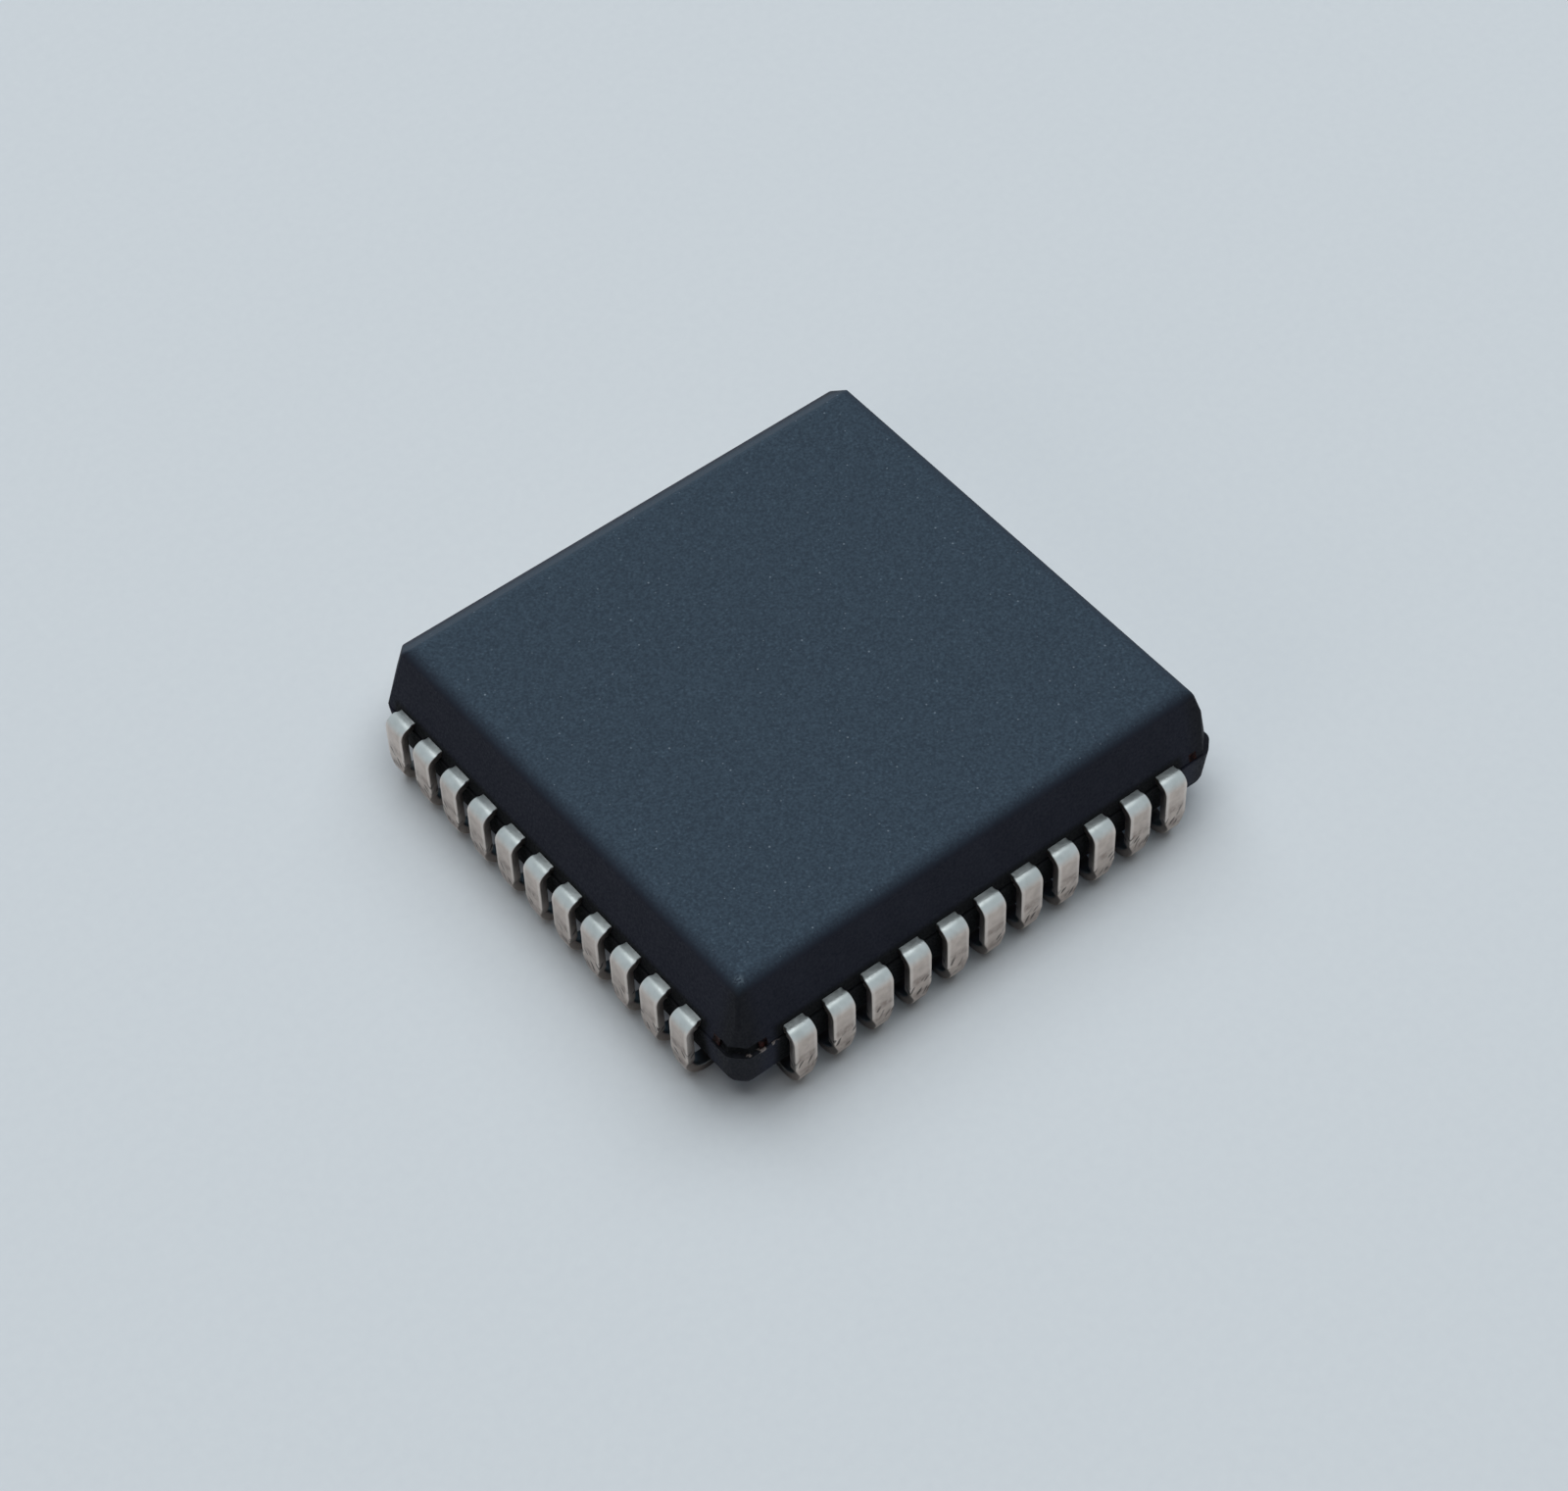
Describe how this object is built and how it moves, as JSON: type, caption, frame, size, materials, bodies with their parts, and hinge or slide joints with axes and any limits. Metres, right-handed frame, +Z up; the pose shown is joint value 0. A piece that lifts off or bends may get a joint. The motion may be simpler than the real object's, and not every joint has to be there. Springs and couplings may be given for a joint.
{
  "type": "plastic leaded memory chip",
  "caption": "Square black plastic chip carrier with tinned J-shaped leads along every side and a cut index corner, holding a programmable read-only memory die.",
  "frame": {"origin": "middle of the seating plane that the hooks of the leads stand on", "axes": "+Z up through the top face, +Y towards the bevelled index side with lead_01 in its middle, leads numbered counter-clockwise seen from above"},
  "size_m": [0.0174, 0.0174, 0.0044],
  "materials": {
    "moulding_compound": "black epoxy moulding compound with a fine spark-eroded grain on top and smoother sides",
    "lead_tin": "matte tin plating over copper alloy, with fine forming marks",
    "frame_copper": "bare copper alloy, dulled at the cut ends of the tie bars",
    "silver_epoxy": "cured silver-filled adhesive",
    "silicon": "polished silicon",
    "bond_gold": "drawn gold wire"
  },
  "bodies": {
    "root": {"moulded_body": "moulding_compound", "die_paddle": "frame_copper", "die_attach": "silver_epoxy", "memory_die": "silicon", "bond_wires": "bond_gold", "lead_01": "lead_tin", "lead_02": "lead_tin", "lead_03": "lead_tin", "lead_04": "lead_tin", "lead_05": "lead_tin", "lead_06": "lead_tin", "lead_07": "lead_tin", "lead_08": "lead_tin", "lead_09": "lead_tin", "lead_10": "lead_tin", "lead_11": "lead_tin", "lead_12": "lead_tin", "lead_13": "lead_tin", "lead_14": "lead_tin", "lead_15": "lead_tin", "lead_16": "lead_tin", "lead_17": "lead_tin", "lead_18": "lead_tin", "lead_19": "lead_tin", "lead_20": "lead_tin", "lead_21": "lead_tin", "lead_22": "lead_tin", "lead_23": "lead_tin", "lead_24": "lead_tin", "lead_25": "lead_tin", "lead_26": "lead_tin", "lead_27": "lead_tin", "lead_28": "lead_tin", "lead_29": "lead_tin", "lead_30": "lead_tin", "lead_31": "lead_tin", "lead_32": "lead_tin", "lead_33": "lead_tin", "lead_34": "lead_tin", "lead_35": "lead_tin", "lead_36": "lead_tin", "lead_37": "lead_tin", "lead_38": "lead_tin", "lead_39": "lead_tin", "lead_40": "lead_tin", "lead_41": "lead_tin", "lead_42": "lead_tin", "lead_43": "lead_tin", "lead_44": "lead_tin"}
  },
  "joints": []
}
